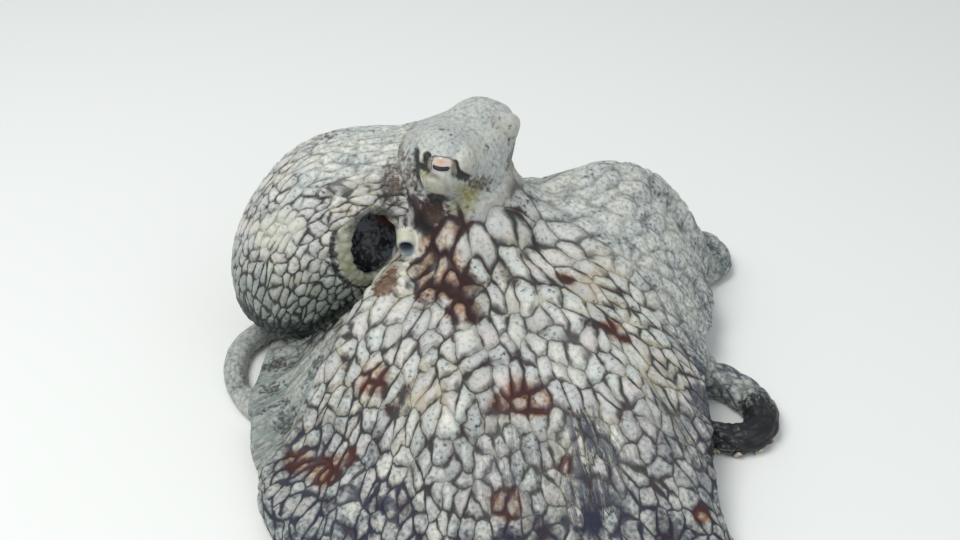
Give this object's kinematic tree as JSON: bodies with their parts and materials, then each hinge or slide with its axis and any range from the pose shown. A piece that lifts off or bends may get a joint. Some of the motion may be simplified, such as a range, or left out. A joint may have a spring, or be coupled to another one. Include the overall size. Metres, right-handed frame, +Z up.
{
  "type": "octopus",
  "caption": "Life-size still model of a reef octopus sitting on the floor, web spread round it, mantle to one side and arm tips curled.",
  "frame": {"origin": "on the floor, under the middle of the part's box", "axes": "+Z up, +X the way the head faces, +Y the animal's left"},
  "size_m": [0.5538, 0.5658, 0.164],
  "materials": {
    "skin": "soft, moist mottled skin with a dark net of grooves and rusty patches",
    "funnel": "pale smooth skin with a bluish mouth",
    "eye": "glossy pale eyeball with a dark level slit"
  },
  "bodies": {
    "root": {"mantle": "skin", "head": "skin", "crown": "skin", "funnel": "funnel", "eye_left": "eye", "eye_right": "eye", "arm_left_1_base": "skin", "arm_left_1_middle": "skin", "arm_left_1_tip": "skin", "arm_left_2_base": "skin", "arm_left_2_middle": "skin", "arm_left_2_tip": "skin", "arm_left_3_base": "skin", "arm_left_3_middle": "skin", "arm_left_3_tip": "skin", "arm_left_4_base": "skin", "arm_left_4_middle": "skin", "arm_left_4_tip": "skin", "arm_right_1_base": "skin", "arm_right_1_middle": "skin", "arm_right_1_tip": "skin", "arm_right_2_base": "skin", "arm_right_2_middle": "skin", "arm_right_2_tip": "skin", "arm_right_3_base": "skin", "arm_right_3_middle": "skin", "arm_right_3_tip": "skin", "arm_right_4_base": "skin", "arm_right_4_middle": "skin", "arm_right_4_tip": "skin", "web_left_1_left_2": "skin", "web_left_2_left_3": "skin", "web_left_3_left_4": "skin", "web_left_4_right_4": "skin", "web_right_4_right_3": "skin", "web_right_3_right_2": "skin", "web_right_2_right_1": "skin", "web_right_1_left_1": "skin"}
  },
  "joints": []
}
